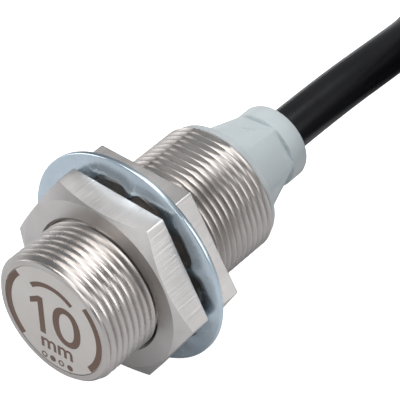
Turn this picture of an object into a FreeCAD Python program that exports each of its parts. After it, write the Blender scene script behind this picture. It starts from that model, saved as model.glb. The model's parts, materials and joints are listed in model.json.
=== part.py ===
"""Barrel proximity sensor, M18 x 1, with a moulded two metre cable.

Frame: origin at the centre of the sensing face, which looks along -Y. The barrel runs along +Y
and the cable leaves it at the rear. +Z is up, and everything that lies loose lies on the bench.
All sizes are in millimetres.
"""
import FreeCAD, Part
import Sketcher
import math
import os
import re

V = FreeCAD.Vector
doc = FreeCAD.newDocument("proximity_sensor")

# ---------------------------------------------------------------- driving dimensions

SIZES = {
    # threaded case
    "case_radius": 9.0,
    "case_length": 30.2,
    "case_bore": 7.3,
    "rim_chamfer": 0.6,
    "pitch": 1.0,
    "thread_depth": 0.61,
    "groove_floor": 0.12,
    "groove_mouth": 0.88,
    "wrench_flats": 17.0,
    "flats_start": 20.0,
    "face_radius": 7.7,
    "face_thickness": 0.8,
    # nuts and washer
    "nut_flats": 24.0,
    "nut_thickness": 4.0,
    "nut_running_gap": 0.05,
    "nut_chamfer_start": 11.8,
    "nut_bore_chamfer": 0.35,
    "front_nut_face": 7.94,
    "front_nut_turn": 3.1,
    "rear_nut_turn": 1.4,
    "nut_gap": 1.43,
    "washer_radius": 14.6,
    "washer_tip_gap": 0.7,
    "tooth_share": 0.551,
    "washer_stock": 0.65,
    "washer_slope": 0.2408,
    "washer_play": 0.08,
    "washer_drop": 0.55,
    "washer_turn": 6.0,
    "washer_teeth": 12,
    "tooth_tip_width": 1.15,
    "tooth_root_width": 1.45,
    "gap_corner": 1.7,
    # cable clamp
    "clamp_flange_radius": 8.65,
    "clamp_flange": 0.75,
    "clamp_plug_length": 5.0,
    "clamp_wall": 1.35,
    "cone_base_radius": 7.35,
    "cone_length": 8.2,
    "collar_radius": 5.25,
    "collar_length": 2.8,
    "collar_rounding": 0.45,
    "facet_depth": 0.65,
    "facet_turn": 6.0,
    "seal_section": 0.4,
    "seal_inset": 2.4,
    # cable
    "cable_radius": 3.0,
    "cable_grip": 8.6,
    "crimp_wall": 0.5,
    "crimp_length": 2.0,
    "conductor_radius": 0.625,
    "conductor_circle": 0.85,
    "copper_radius": 0.3,
    "bench_drop": 14.05,
    "coil_radius": 30.0,
    "coil_width": 18.0,
    "coil_height": 18.0,
    "top_turn_radius": 26.8,
    "last_turn_radius": 33.2,
    "top_turn_rise": 5.2,
    "tie_width": 5.0,
    "tie_thickness": 0.5,
    "tie_play": 0.15,
    # sensing head
    "head_gap": 0.05,
    "cup_wall": 0.4,
    "cup_length": 6.6,
    "core_length": 5.0,
    "core_wall": 1.25,
    "core_web": 1.4,
    "core_post_radius": 2.7,
    "core_bore": 0.9,
    "bobbin_wall": 0.35,
    "winding_margin": 0.15,
    "lead_radius": 0.15,
    "lead_spread": 4.2,
    # electronics
    "board_side_gap": 0.25,
    "board_thickness": 0.8,
    "board_length": 21.0,
    "board_inset": 0.4,
    "pad_margin": 0.9,
}

sheet = doc.addObject("Spreadsheet::Sheet", "Sizes")
for row, (alias, number) in enumerate(SIZES.items(), start=1):
    sheet.set("A%d" % row, alias)
    sheet.set("B%d" % row, str(number))
    sheet.setAlias("B%d" % row, alias)
doc.recompute()


def formula(text):
    """The same formula with each size's name pointing at its cell in the sheet."""
    def cell(word):
        name = word.group(0)
        return "Sizes." + name if name in SIZES else name
    return re.sub(r"[a-z_]+", cell, str(text))


def value(text):
    return float(sheet.evalExpression(formula(text)))


# ---------------------------------------------------------------- stations along the barrel

REAR = "case_length"
NUT_CORNER = "nut_flats / 2 / cos(30)"
WASHER_FACE = "front_nut_face + nut_thickness"
WASHER_TIP = "(case_radius + washer_tip_gap)"
WASHER_DISH = "((washer_radius - case_radius - washer_tip_gap) * washer_slope)"
WASHER_GAP = ("(case_radius + washer_tip_gap"
              " + (washer_radius - case_radius - washer_tip_gap) * tooth_share)")
REAR_NUT_FACE = "front_nut_face + nut_thickness + nut_gap"
FLANGE_BACK = "(case_length + clamp_flange)"
CONE_BACK = "(case_length + clamp_flange + cone_length)"
CLAMP_BACK = "(case_length + clamp_flange + cone_length + collar_length)"
JACKET_FRONT = "(case_length + clamp_flange + cone_length + collar_length - cable_grip)"
PLUG_FRONT = "(case_length - clamp_plug_length)"
PLUG_BORE = "(case_bore - clamp_wall)"
BOARD_WIDE = "(2 * (case_bore - clamp_wall - board_side_gap))"
HEAD_RADIUS = "(case_bore - head_gap)"
CUP_FRONT = "(face_thickness + head_gap)"
CUP_BACK = "(face_thickness + head_gap + cup_length)"
CORE_FRONT = "(face_thickness + 2 * head_gap + cup_wall)"
CORE_RADIUS = "(case_bore - 2 * head_gap - cup_wall)"
CORE_BACK = "(face_thickness + 2 * head_gap + cup_wall + core_length)"
BOBBIN_FRONT = "(face_thickness + 3 * head_gap + cup_wall)"
BOBBIN_BACK = "(face_thickness + head_gap + cup_wall + core_length - core_web)"
BOARD_FRONT = "(face_thickness + head_gap + cup_length + board_inset)"
BOARD_BACK = "(face_thickness + head_gap + cup_length + board_inset + board_length)"

NODES = []


# ---------------------------------------------------------------- helpers

def name_node(item, label):
    """Give a finished sub-part the name that its file will have."""
    item.Label = label
    NODES.append(item)
    return item


def bind(item, **properties):
    """Tie properties to sheet formulas, with __ in a name standing for a dot."""
    for key, text in properties.items():
        item.setExpression(key.replace("__", "."), formula(text))
    return item


def sketch_on(body, role, name, offset=None):
    """A sketch on one of the body's own planes, moved along the plane's normal by a formula."""
    sketch = body.newObject("Sketcher::SketchObject", name)
    plane = [item for item in body.Origin.OriginFeatures if item.Role == role][0]
    sketch.AttachmentSupport = [(plane, "")]
    sketch.MapMode = "FlatFace"
    if offset:
        sketch.setExpression("AttachmentOffset.Base.z", formula(offset))
    return sketch


def pin_point(sketch, geometry, point, x, y):
    """Hold one point of the sketch at two formulas, measured from the sketch's origin."""
    for kind, text in (("DistanceX", x), ("DistanceY", y)):
        constraint = Sketcher.Constraint(kind, -1, 1, geometry, point, value(text))
        index = sketch.addConstraint(constraint)
        sketch.setExpression("Constraints[%d]" % index, formula(text))


def outline(sketch, corners):
    """Closed outline of straight sides through corners given as pairs of formulas."""
    places = [V(value(x), value(y), 0) for x, y in corners]
    first = sketch.GeometryCount
    count = len(corners)
    for i in range(count):
        sketch.addGeometry(Part.LineSegment(places[i], places[(i + 1) % count]), False)
    for i in range(count):
        following = first + (i + 1) % count
        sketch.addConstraint(Sketcher.Constraint("Coincident", first + i, 2, following, 1))
        pin_point(sketch, first + i, 1, *corners[i])
    return sketch


def new_body(name):
    return doc.addObject("PartDesign::Body", name)


def turned(body, name, corners, kind="Revolution"):
    """Solid or groove turned about the barrel's axis from (radius, station) corners."""
    sketch = outline(sketch_on(body, "XY_Plane", name + "_outline"), corners)
    feature = body.newObject("PartDesign::" + kind, name)
    feature.Profile = sketch
    feature.ReferenceAxis = (sketch, ["V_Axis"])
    feature.Angle = 360
    return feature


def turned_body(label, corners):
    body = new_body(label + "_body")
    turned(body, label + "_turning", corners)
    return name_node(body, label)


def rod(name, radius, start, length, x="0", z="0"):
    """Cylinder along the barrel's axis."""
    item = doc.addObject("Part::Cylinder", name)
    item.Placement.Rotation = FreeCAD.Rotation(V(1, 0, 0), -90)
    return bind(item, Radius=radius, Height=length, Placement__Base__x=x,
                Placement__Base__y=start, Placement__Base__z=z)


def block(name, wide, long, high, x, y, z):
    """Box with its centre at x, its front at y and its underside at z."""
    item = doc.addObject("Part::Box", name)
    return bind(item, Width=long, Length=wide, Height=high,
                Placement__Base__x="(%s) - (%s) / 2" % (x, wide),
                Placement__Base__y=y, Placement__Base__z=z)


def cut(name, base, tool):
    item = doc.addObject("Part::Cut", name)
    item.Base = base
    item.Tool = tool
    return item


def group(name, items):
    item = doc.addObject("Part::Compound", name)
    item.Links = items
    return item


def rounded_path(points, radii=None):
    """Straight runs joined by tangent arcs, each as large as its two runs allow."""
    points = [V(*point) for point in points]
    edges = []
    here = points[0]
    for before, corner, after in zip(points, points[1:], points[2:]):
        into = (corner - before).normalize()
        out = (after - corner).normalize()
        half = into.getAngle(out) / 2
        reach = 0.45 * min((corner - before).Length, (after - corner).Length)
        radius = reach / math.tan(half)
        start = corner - into * reach
        end = corner + out * reach
        centre = corner + (out - into).normalize() * (radius / math.cos(half))
        middle = centre + (corner - centre).normalize() * radius
        edges.append(Part.LineSegment(here, start).toShape())
        edges.append(Part.Arc(start, middle, end).toShape())
        if radii is not None:
            radii.append(radius)
        here = end
    edges.append(Part.LineSegment(here, points[-1]).toShape())
    return Part.Wire(edges)


def tube(label, points, radius, least_radius):
    """Round cord along a rounded path, checked against its section times its length."""
    radii = []
    path = rounded_path(points, radii)
    start = V(*points[0])
    along = V(*points[1]) - start
    section = Part.Wire([Part.Circle(start, along, radius).toShape()])
    solid = path.makePipeShell([section], True, False)
    expected = math.pi * radius ** 2 * path.Length
    print("%s: length %.1f, arc radii %s" % (label, path.Length, [round(r, 1) for r in radii]))
    if abs(solid.Volume / expected - 1) > 0.02:
        raise RuntimeError("%s has the wrong volume" % label)
    if min(radii) < least_radius:
        raise RuntimeError("%s bends too tightly" % label)
    item = doc.addObject("Part::Feature", label + "_solid")
    item.Shape = solid
    return name_node(item, label)


# ---------------------------------------------------------------- threaded case

def build_case():
    """Stainless tube: turned, threaded M18 x 1 from end to end, then milled for a wrench."""
    body = new_body("case_body")
    turned(body, "case_turning", [
        ("face_radius", "0"),
        ("case_radius - rim_chamfer", "0"),
        ("case_radius", "rim_chamfer"),
        ("case_radius", "case_length - rim_chamfer"),
        ("case_radius - rim_chamfer", "case_length"),
        ("case_bore", "case_length"),
        ("case_bore", "face_thickness"),
        ("face_radius", "face_thickness"),
    ])
    doc.recompute()

    for side, near, far in (("upper", "wrench_flats / 2", "case_radius + 1"),
                            ("lower", "-case_radius - 1", "-wrench_flats / 2")):
        flat = sketch_on(body, "XZ_Plane", side + "_flat_outline", "-flats_start")
        outline(flat, [
            ("-case_radius", near), ("case_radius", near), ("case_radius", far), ("-case_radius", far),
        ])
        pocket = body.newObject("PartDesign::Pocket", side + "_flat")
        pocket.Profile = flat
        pocket.Reversed = False
        bind(pocket, Length="case_length - flats_start + 1")
        doc.recompute()

    groove = sketch_on(body, "XY_Plane", "thread_profile")
    outline(groove, [
        ("case_radius - thread_depth", "-pitch - groove_floor / 2"),
        ("case_radius + 0.05", "-pitch - groove_mouth / 2"),
        ("case_radius + 0.05", "-pitch + groove_mouth / 2"),
        ("case_radius - thread_depth", "-pitch + groove_floor / 2"),
    ])
    thread = body.newObject("PartDesign::SubtractiveHelix", "thread")
    thread.Profile = groove
    thread.ReferenceAxis = (groove, ["V_Axis"])
    thread.Mode = 0
    thread.LeftHanded = False
    bind(thread, Pitch="pitch", Height="case_length + 2 * pitch")
    doc.recompute()
    return name_node(body, "threaded_case")


def build_face():
    """Thin steel disc that closes the front of the case and carries the marks."""
    return turned_body("sensing_face", [
        ("0", "0"), ("face_radius", "0"), ("face_radius", "face_thickness"), ("0", "face_thickness"),
    ])


# ---------------------------------------------------------------- nuts and washer

def build_nut(label, face, turn):
    """Hexagon nut with a running bore, chamfered corners in front and a countersunk bore."""
    body = new_body(label + "_body")
    hexagon = sketch_on(body, "XZ_Plane", label + "_hexagon")
    outline(hexagon, [("%s * cos(%d)" % (NUT_CORNER, angle), "%s * sin(%d)" % (NUT_CORNER, angle))
                      for angle in range(0, 360, 60)])
    pad = body.newObject("PartDesign::Pad", label + "_blank")
    pad.Profile = hexagon
    pad.Reversed = True
    bind(pad, Length="nut_thickness")
    doc.recompute()

    bore = "case_radius + nut_running_gap"
    rim = "case_radius + nut_running_gap + nut_bore_chamfer"
    turned(body, label + "_bore", [
        ("0", "-1"),
        (rim + " + 1", "-1"),
        (bore, "nut_bore_chamfer"),
        (bore, "nut_thickness - nut_bore_chamfer"),
        (rim + " + 1", "nut_thickness + 1"),
        ("0", "nut_thickness + 1"),
    ], "Groove")
    doc.recompute()
    turned(body, label + "_corners", [
        ("nut_chamfer_start - 1", "-1 * tan(30)"),
        (NUT_CORNER + " + 1", "-1 * tan(30)"),
        (NUT_CORNER + " + 1", "(%s + 1 - nut_chamfer_start) * tan(30)" % NUT_CORNER),
    ], "Groove")
    doc.recompute()
    body.Placement.Rotation = FreeCAD.Rotation(V(0, 1, 0), value(turn))
    bind(body, Placement__Base__y=face)
    return name_node(body, label)


def build_washer():
    """Dished washer with slender teeth inside a plain rim, resting low on the thread."""
    body = new_body("washer_body")
    tip_face = "%s + washer_play" % WASHER_FACE
    rim_face = "%s + washer_play + %s" % (WASHER_FACE, WASHER_DISH)
    turned(body, "washer_ring", [
        (WASHER_TIP, tip_face),
        ("washer_radius", rim_face),
        ("washer_radius", rim_face + " + washer_stock"),
        (WASHER_TIP, tip_face + " + washer_stock"),
    ])
    doc.recompute()

    half_pitch = "tan(180 / washer_teeth)"
    inner_half = "((%s - 1) * %s - tooth_tip_width / 2)" % (WASHER_TIP, half_pitch)
    outer_half = "(%s * %s - tooth_root_width / 2)" % (WASHER_GAP, half_pitch)
    corners = [
        ("-" + inner_half, WASHER_TIP + " - 1"),
        ("-" + outer_half, WASHER_GAP + " - gap_corner"),
        ("-(%s - gap_corner)" % outer_half, WASHER_GAP),
        (outer_half + " - gap_corner", WASHER_GAP),
        (outer_half, WASHER_GAP + " - gap_corner"),
        (inner_half, WASHER_TIP + " - 1"),
    ]
    places = [V(value(x), value(y), 0) for x, y in corners]
    gap = sketch_on(body, "XZ_Plane", "tooth_gap", "-(%s)" % WASHER_FACE)
    corner_radius = value("gap_corner")
    corner_centres = {1: V(places[2].x, places[1].y, 0), 3: V(places[3].x, places[4].y, 0)}
    for i, place in enumerate(places):
        following = places[(i + 1) % len(places)]
        if i in corner_centres:
            centre = corner_centres[i]
            middle = centre + (place + following - centre * 2).normalize() * corner_radius
            gap.addGeometry(Part.Arc(place, middle, following), False)
        else:
            gap.addGeometry(Part.LineSegment(place, following), False)
    # an arc always runs anticlockwise, so its first point is the outline's next corner
    first_point = [2 if i in corner_centres else 1 for i in range(len(places))]
    for i, (x, y) in enumerate(corners):
        before = (i - 1) % len(places)
        gap.addConstraint(Sketcher.Constraint("Coincident", before, 3 - first_point[before],
                                              i, first_point[i]))
        pin_point(gap, i, first_point[i], x, y)
    for i, text in ((1, corners[2][0]), (3, corners[3][0])):
        index = gap.addConstraint(Sketcher.Constraint("DistanceX", -1, 1, i, 3, value(text)))
        gap.setExpression("Constraints[%d]" % index, formula(text))
    pocket = body.newObject("PartDesign::Pocket", "tooth_gap_cut")
    pocket.Profile = gap
    pocket.Reversed = False
    bind(pocket, Length=WASHER_DISH + " + 2 * washer_stock")
    doc.recompute()
    teeth = body.newObject("PartDesign::PolarPattern", "teeth")
    teeth.Originals = [pocket]
    teeth.Axis = (gap, ["N_Axis"])
    teeth.Angle = 360
    bind(teeth, Occurrences="washer_teeth")
    body.Tip = teeth
    doc.recompute()
    body.Placement.Rotation = FreeCAD.Rotation(V(0, 1, 0), -value("washer_turn"))
    bind(body, Placement__Base__z="washer_drop")
    return name_node(body, "toothed_washer")


# ---------------------------------------------------------------- cable clamp

def build_clamp():
    """Clear nylon moulding: plug in the case, flange on its end, faceted cone and round collar."""
    body = new_body("clamp_body")
    seal_front = PLUG_FRONT + " + seal_inset - seal_section"
    seal_back = PLUG_FRONT + " + seal_inset + seal_section"
    seal_floor = "case_bore - 2 * seal_section"
    crimp_bore = "cable_radius + crimp_wall"
    crimp_back = JACKET_FRONT + " + 2 * crimp_wall + crimp_length"
    turned(body, "clamp_moulding", [
        (PLUG_BORE, PLUG_FRONT),
        ("case_bore", PLUG_FRONT),
        ("case_bore", seal_front),
        (seal_floor, seal_front),
        (seal_floor, seal_back),
        ("case_bore", seal_back),
        ("case_bore", REAR),
        ("clamp_flange_radius", REAR),
        ("clamp_flange_radius", FLANGE_BACK),
        ("cone_base_radius", FLANGE_BACK),
        ("collar_radius", CONE_BACK),
        ("collar_radius", CLAMP_BACK + " - collar_rounding"),
        ("collar_radius - collar_rounding", CLAMP_BACK),
        ("cable_radius", CLAMP_BACK),
        ("cable_radius", crimp_back),
        (crimp_bore, crimp_back),
        (crimp_bore, JACKET_FRONT),
        (PLUG_BORE, FLANGE_BACK),
    ])
    doc.recompute()

    facet = sketch_on(body, "XY_Plane", "facet_outline")
    outline(facet, [
        ("cone_base_radius", FLANGE_BACK + " + 0.3"),
        ("collar_radius - facet_depth", CONE_BACK),
        ("clamp_flange_radius", CONE_BACK),
        ("clamp_flange_radius", FLANGE_BACK + " + 0.3"),
    ])
    pocket = body.newObject("PartDesign::Pocket", "facet_cut")
    pocket.Profile = facet
    pocket.Midplane = True
    bind(pocket, Length="2 * clamp_flange_radius")
    doc.recompute()
    facets = body.newObject("PartDesign::PolarPattern", "facets")
    facets.Originals = [pocket]
    facets.Axis = (facet, ["V_Axis"])
    facets.Angle = 360
    facets.Occurrences = 6
    body.Tip = facets
    doc.recompute()
    body.Placement.Rotation = FreeCAD.Rotation(V(0, 1, 0), -30 - value("facet_turn"))
    return name_node(body, "cable_clamp")


def build_seal():
    """Rubber ring in the groove of the clamp's plug."""
    ring = doc.addObject("Part::Torus", "seal_ring")
    ring.Placement.Rotation = FreeCAD.Rotation(V(1, 0, 0), -90)
    bind(ring, Radius1="case_bore - seal_section", Radius2="seal_section",
         Placement__Base__y=PLUG_FRONT + " + seal_inset")
    return name_node(ring, "clamp_seal")


def build_crimp():
    """Steel ring crimped on the jacket, which stops the cable pulling out."""
    outer = rod("crimp_outer", "cable_radius + crimp_wall", JACKET_FRONT + " + 2 * crimp_wall",
                "crimp_length")
    inner = rod("crimp_inner", "cable_radius", JACKET_FRONT, "crimp_length + 4 * crimp_wall")
    return name_node(cut("crimp_cut", outer, inner), "crimp_ring")


# ---------------------------------------------------------------- sensing head

def build_head():
    """Coil cup, ferrite pot core, bobbin and winding, one inside the other behind the face."""
    turned_body("coil_cup", [
        ("0", CUP_FRONT),
        (HEAD_RADIUS, CUP_FRONT),
        (HEAD_RADIUS, CUP_BACK),
        (HEAD_RADIUS + " - cup_wall", CUP_BACK),
        (HEAD_RADIUS + " - cup_wall", CUP_FRONT + " + cup_wall"),
        ("0", CUP_FRONT + " + cup_wall"),
    ])
    window = CORE_BACK + " - core_web"
    core = new_body("ferrite_body")
    turned(core, "ferrite_turning", [
        ("core_bore", CORE_FRONT),
        ("core_post_radius", CORE_FRONT),
        ("core_post_radius", window),
        (CORE_RADIUS + " - core_wall", window),
        (CORE_RADIUS + " - core_wall", CORE_FRONT),
        (CORE_RADIUS, CORE_FRONT),
        (CORE_RADIUS, CORE_BACK),
        ("core_bore", CORE_BACK),
    ])
    doc.recompute()
    slot = sketch_on(core, "XZ_Plane", "lead_slots", "-(%s)" % window + " + 1")
    for side in ("-", ""):
        outline(slot, [
            (side + "(lead_spread - 2 * lead_radius)", "board_thickness / 2 - lead_radius"),
            (side + "(lead_spread + 2 * lead_radius)", "board_thickness / 2 - lead_radius"),
            (side + "(lead_spread + 2 * lead_radius)", "board_thickness / 2 + 3 * lead_radius"),
            (side + "(lead_spread - 2 * lead_radius)", "board_thickness / 2 + 3 * lead_radius"),
        ])
    slots = core.newObject("PartDesign::Pocket", "lead_slot_cut")
    slots.Profile = slot
    bind(slots, Length="core_web + 2")
    doc.recompute()
    name_node(core, "ferrite_core")

    hub = "core_post_radius + head_gap"
    flange = CORE_RADIUS + " - core_wall - head_gap"
    turned_body("coil_bobbin", [
        (hub, BOBBIN_FRONT),
        (flange, BOBBIN_FRONT),
        (flange, BOBBIN_FRONT + " + bobbin_wall"),
        (hub + " + bobbin_wall", BOBBIN_FRONT + " + bobbin_wall"),
        (hub + " + bobbin_wall", BOBBIN_BACK + " - bobbin_wall"),
        ("lead_spread - 2 * lead_radius", BOBBIN_BACK + " - bobbin_wall"),
        ("lead_spread - 2 * lead_radius", BOBBIN_BACK),
        (hub, BOBBIN_BACK),
    ])
    turned_body("coil_winding", [
        (hub + " + bobbin_wall", BOBBIN_FRONT + " + bobbin_wall"),
        (flange + " - winding_margin", BOBBIN_FRONT + " + bobbin_wall"),
        (flange + " - winding_margin", BOBBIN_BACK + " - bobbin_wall"),
        (hub + " + bobbin_wall", BOBBIN_BACK + " - bobbin_wall"),
    ])


# ---------------------------------------------------------------- electronics

def build_electronics():
    """Board along the middle of the barrel, with its parts on the upper side."""
    top = "board_thickness / 2"
    board = block("board_blank", BOARD_WIDE, "board_length", "board_thickness",
                  "0", BOARD_FRONT, "-board_thickness / 2")
    name_node(board, "circuit_board")

    leads_start = BOBBIN_BACK + " - bobbin_wall"
    leads_end = BOARD_FRONT + " + pad_margin"
    leads = [rod("coil_lead_%d" % i, "lead_radius", leads_start,
                 "%s - (%s)" % (leads_end, leads_start), side + "lead_spread", top + " + lead_radius")
             for i, side in enumerate(("-", ""))]
    name_node(group("coil_lead_pair", leads), "coil_leads")

    parts = (
        # node, size (wide, long, high), and (x, distance from the board's front) of each piece
        ("sensor_chip", (4.0, 4.0, 0.9), [(0.0, 3.0)]),
        ("output_transistor", (2.9, 1.3, 1.0), [(-2.6, 13.6)]),
        ("protection_diode", (1.6, 2.7, 1.1), [(2.8, 12.8)]),
        ("chip_capacitors", (0.8, 1.6, 0.8), [(-4.4, 4.0), (4.4, 4.0), (-1.8, 8.6), (4.2, 9.0)]),
        ("chip_resistors", (0.8, 1.6, 0.45), [(-3.6, 8.6), (0.0, 8.6), (1.8, 8.6), (-4.4, 11.2),
                                              (-0.4, 11.2), (1.4, 11.2)]),
        ("indicator_lights", (0.8, 1.6, 0.6), [(-4.6, 18.4), (4.6, 18.4)]),
    )
    for label, (wide, long, high), places in parts:
        pieces = [block("%s_%d" % (label, i), wide, long, high, x, BOARD_FRONT + " + %s" % y, top)
                  for i, (x, y) in enumerate(places)]
        name_node(group(label + "_group", pieces), label)

    joints = [block("coil_joint_%d" % i, 0.8, 0.8, 0.5, side + "lead_spread", leads_end, top)
              for i, side in enumerate(("-", ""))]
    joints += [block("wire_joint_%d" % i, 1.2, 0.8, 0.9, "%d" % x, BOARD_BACK + " - 4.8", top)
               for i, x in enumerate((-2, 0, 2))]
    name_node(group("solder_group", joints), "solder_joints")


def build_conductors():
    """Three insulated wires from the board, gathered into the jacket inside the clamp."""
    radius = value("conductor_radius")
    circle = value("conductor_circle")
    board_end = value(BOARD_BACK)
    jacket = value(JACKET_FRONT)
    above = value("board_thickness / 2 + head_gap") + radius
    for label, x, angle in (("brown_wire", -2.0, 210), ("blue_wire", 0.0, 90), ("black_wire", 2.0, 330)):
        end_x = circle * math.cos(math.radians(angle))
        end_z = circle * math.sin(math.radians(angle))
        tube(label, [
            (x, board_end - 4.0, above),
            (x, board_end + 0.6, above),
            (end_x, jacket - 1.2, end_z),
            (end_x, jacket, end_z),
        ], radius, radius)


def build_resin():
    """Casting resin that fills the case and the clamp round everything inside."""
    filled = [item.Shape for item in NODES if item.Label in (
        "circuit_board", "coil_leads", "sensor_chip", "output_transistor", "protection_diode",
        "chip_capacitors", "chip_resistors", "indicator_lights", "solder_joints",
        "brown_wire", "blue_wire", "black_wire")]
    front = value(CUP_BACK)
    step = value(PLUG_FRONT)
    back = value(FLANGE_BACK)
    resin = Part.makeCylinder(value(HEAD_RADIUS), step - front, V(0, front, 0), V(0, 1, 0))
    plug = Part.makeCylinder(value(PLUG_BORE) - value("head_gap"), back - step, V(0, step, 0), V(0, 1, 0))
    solid = resin.fuse(plug).cut(filled)
    item = doc.addObject("Part::Feature", "resin_solid")
    item.Shape = solid
    return name_node(item, "casting_resin")


# ---------------------------------------------------------------- cable

def build_cable():
    """Jacket in the clamp, the free run to the bench, the coil of spare length and its tail."""
    name_node(rod("jacket", "cable_radius", JACKET_FRONT, "cable_grip"), "cable_entry")

    radius = value("cable_radius")
    bench = -value("bench_drop")
    outlet = value(CLAMP_BACK)
    coil_x = 36.0
    coil_y = 89.0
    tube("cable_run", [
        (0.0, outlet, 0.0),
        (0.0, 53.0, 0.0),
        (0.0, 66.0, -1.2),
        (0.0, 79.0, -6.6),
        (0.0, 89.0, -10.2),
    ], radius, 5 * 2 * radius)

    lift = bench + value("tie_thickness")
    middle = value("coil_radius")
    half_width = value("coil_width") / 2
    turns = coil_ring(coil_x, coil_y, middle, half_width, lift, value("coil_height"), radius * 0.8)
    top_start = lift + value("coil_height") - radius
    top_height = radius + value("top_turn_rise")
    for distance, start, sweep in ((value("top_turn_radius"), -135, 292),
                                   (value("last_turn_radius"), 3, 222)):
        top = coil_ring(coil_x, coil_y, distance, radius, top_start, top_height, 0, sweep)
        top.rotate(V(coil_x, coil_y, 0), V(0, 0, 1), start)
        turns = turns.fuse(top)
    coil = doc.addObject("Part::Feature", "coil_solid")
    coil.Shape = turns
    name_node(coil, "cable_coil")

    build_ties(coil_x, coil_y, lift)

    def beside(angle, distance, z):
        """A point round the coil's centre."""
        turn = math.radians(angle)
        return (coil_x + distance * math.cos(turn), coil_y + distance * math.sin(turn), z)

    tail = [beside(8, 33.2, lift + 20.2), beside(-8, 33.2, lift + 20.2),
            beside(-22, 34.3, lift + 20.9), beside(-36, 36.2, lift + 21.3)]
    tube("cable_tail", tail, radius, 4 * 2 * radius)
    build_leads(V(*tail[-2]), V(*tail[-1]), beside, lift + value("coil_height"))


def coil_ring(x, y, middle, half_width, bottom, height, rounding, sweep=360):
    """Ring of the outer shape of some turns of cable, with its edges rounded if asked."""
    outer = Part.makeCylinder(middle + half_width, height, V(x, y, bottom), V(0, 0, 1), sweep)
    ring = outer.cut(Part.makeCylinder(middle - half_width, height, V(x, y, bottom)))
    if not rounding:
        return ring
    rims = [edge for edge in ring.Edges if edge.isClosed() and edge.BoundBox.ZLength < 0.01]
    return ring.makeFillet(rounding, rims)


def build_ties(coil_x, coil_y, lift):
    """Two nylon bands that hold the coil's turns together."""
    play = value("tie_play")
    thickness = value("tie_thickness")
    wide = value("tie_width")
    reach = value("coil_width") + 2 * play
    height = value("coil_height + top_turn_rise") + play
    bands = []
    for angle in (100, 280):
        outer = Part.makeBox(reach + 2 * thickness, wide, height + 2 * thickness,
                             V(value("coil_radius") - reach / 2 - thickness, -wide / 2, lift - thickness))
        inner = Part.makeBox(reach, wide, height,
                             V(value("coil_radius") - reach / 2, -wide / 2, lift))
        band = outer.cut(inner)
        band.rotate(V(0, 0, 0), V(0, 0, 1), angle)
        band.translate(V(coil_x, coil_y, 0))
        bands.append(band)
    ties = doc.addObject("Part::Feature", "tie_solids")
    ties.Shape = Part.makeCompound(bands)
    name_node(ties, "coil_ties")


def build_leads(before, end, beside, rest):
    """Three stripped leads that lie on top of the coil, from the end of the jacket."""
    radius = value("conductor_radius")
    circle = value("conductor_circle")
    copper = value("copper_radius")
    along = (end - before).normalize()
    across = V(along.y, -along.x, 0).normalize()
    lying = rest + radius + 0.05
    tips = []
    for label, angle, distance in (("brown_lead", 150, 33.4), ("blue_lead", 270, 35.2),
                                   ("black_lead", 30, 37.0)):
        side = -circle * math.cos(math.radians(angle))
        lift = circle * math.sin(math.radians(angle))
        # square to the jacket, so that the end faces just meet
        start = end + across * side + V(0, 0, lift) - along * (along.z * lift)
        points = [start, start + along * 4]
        for turn, share, rise in ((-51, 0.75, 0.5), (-64, 0.9, 0.1), (-79, 1.0, 0.0), (-94, 1.0, 0.0)):
            middle = 36.2 + (distance - 36.2) * share
            points.append(V(*beside(turn, middle, lying + (start.z - lying) * rise)))
        tube(label, points, radius, 3 * radius)
        tip = (points[-1] - points[-2]).normalize()
        tips.append(Part.makeCylinder(copper, 5.0, points[-1], tip))
    item = doc.addObject("Part::Feature", "tip_solids")
    item.Shape = Part.makeCompound(tips)
    return name_node(item, "tinned_ends")


# ---------------------------------------------------------------- build, check and write

build_case()
build_face()
build_nut("front_nut", "front_nut_face", "front_nut_turn")
build_nut("rear_nut", REAR_NUT_FACE, "rear_nut_turn")
build_washer()
build_clamp()
build_seal()
build_crimp()
build_head()
build_electronics()
build_conductors()
doc.recompute()
build_resin()
build_cable()
doc.recompute()

for item in doc.Objects:
    if "Invalid" in item.State or "Error" in item.State:
        raise RuntimeError("%s failed: %s" % (item.Label, item.State))
for item in NODES:
    if item.Shape.isNull() or not item.Shape.isValid():
        raise RuntimeError("%s has no valid shape" % item.Label)

os.makedirs("parts", exist_ok=True)
for item in NODES:
    item.Shape.exportStep("parts/%s.step" % item.Label)
    print("%-20s %d solids, %.1f mm3" % (item.Label, len(item.Shape.Solids), item.Shape.Volume))
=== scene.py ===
# %% [markdown]
# # An inductive proximity sensor, finished in Blender
# The sensor is a threaded steel barrel with a marked disc in front, two thin nuts,
# a toothed washer, a clear cable clamp and 1.9 metres of black cable. Its engineering
# model is loaded first and stays as it is: it says where everything goes and what
# moves. Each new piece below is laid over it, in metres, and rides on the body that
# carries it.

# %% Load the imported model
import json
import math
import bpy
from mathutils import Matrix, Vector

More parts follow.
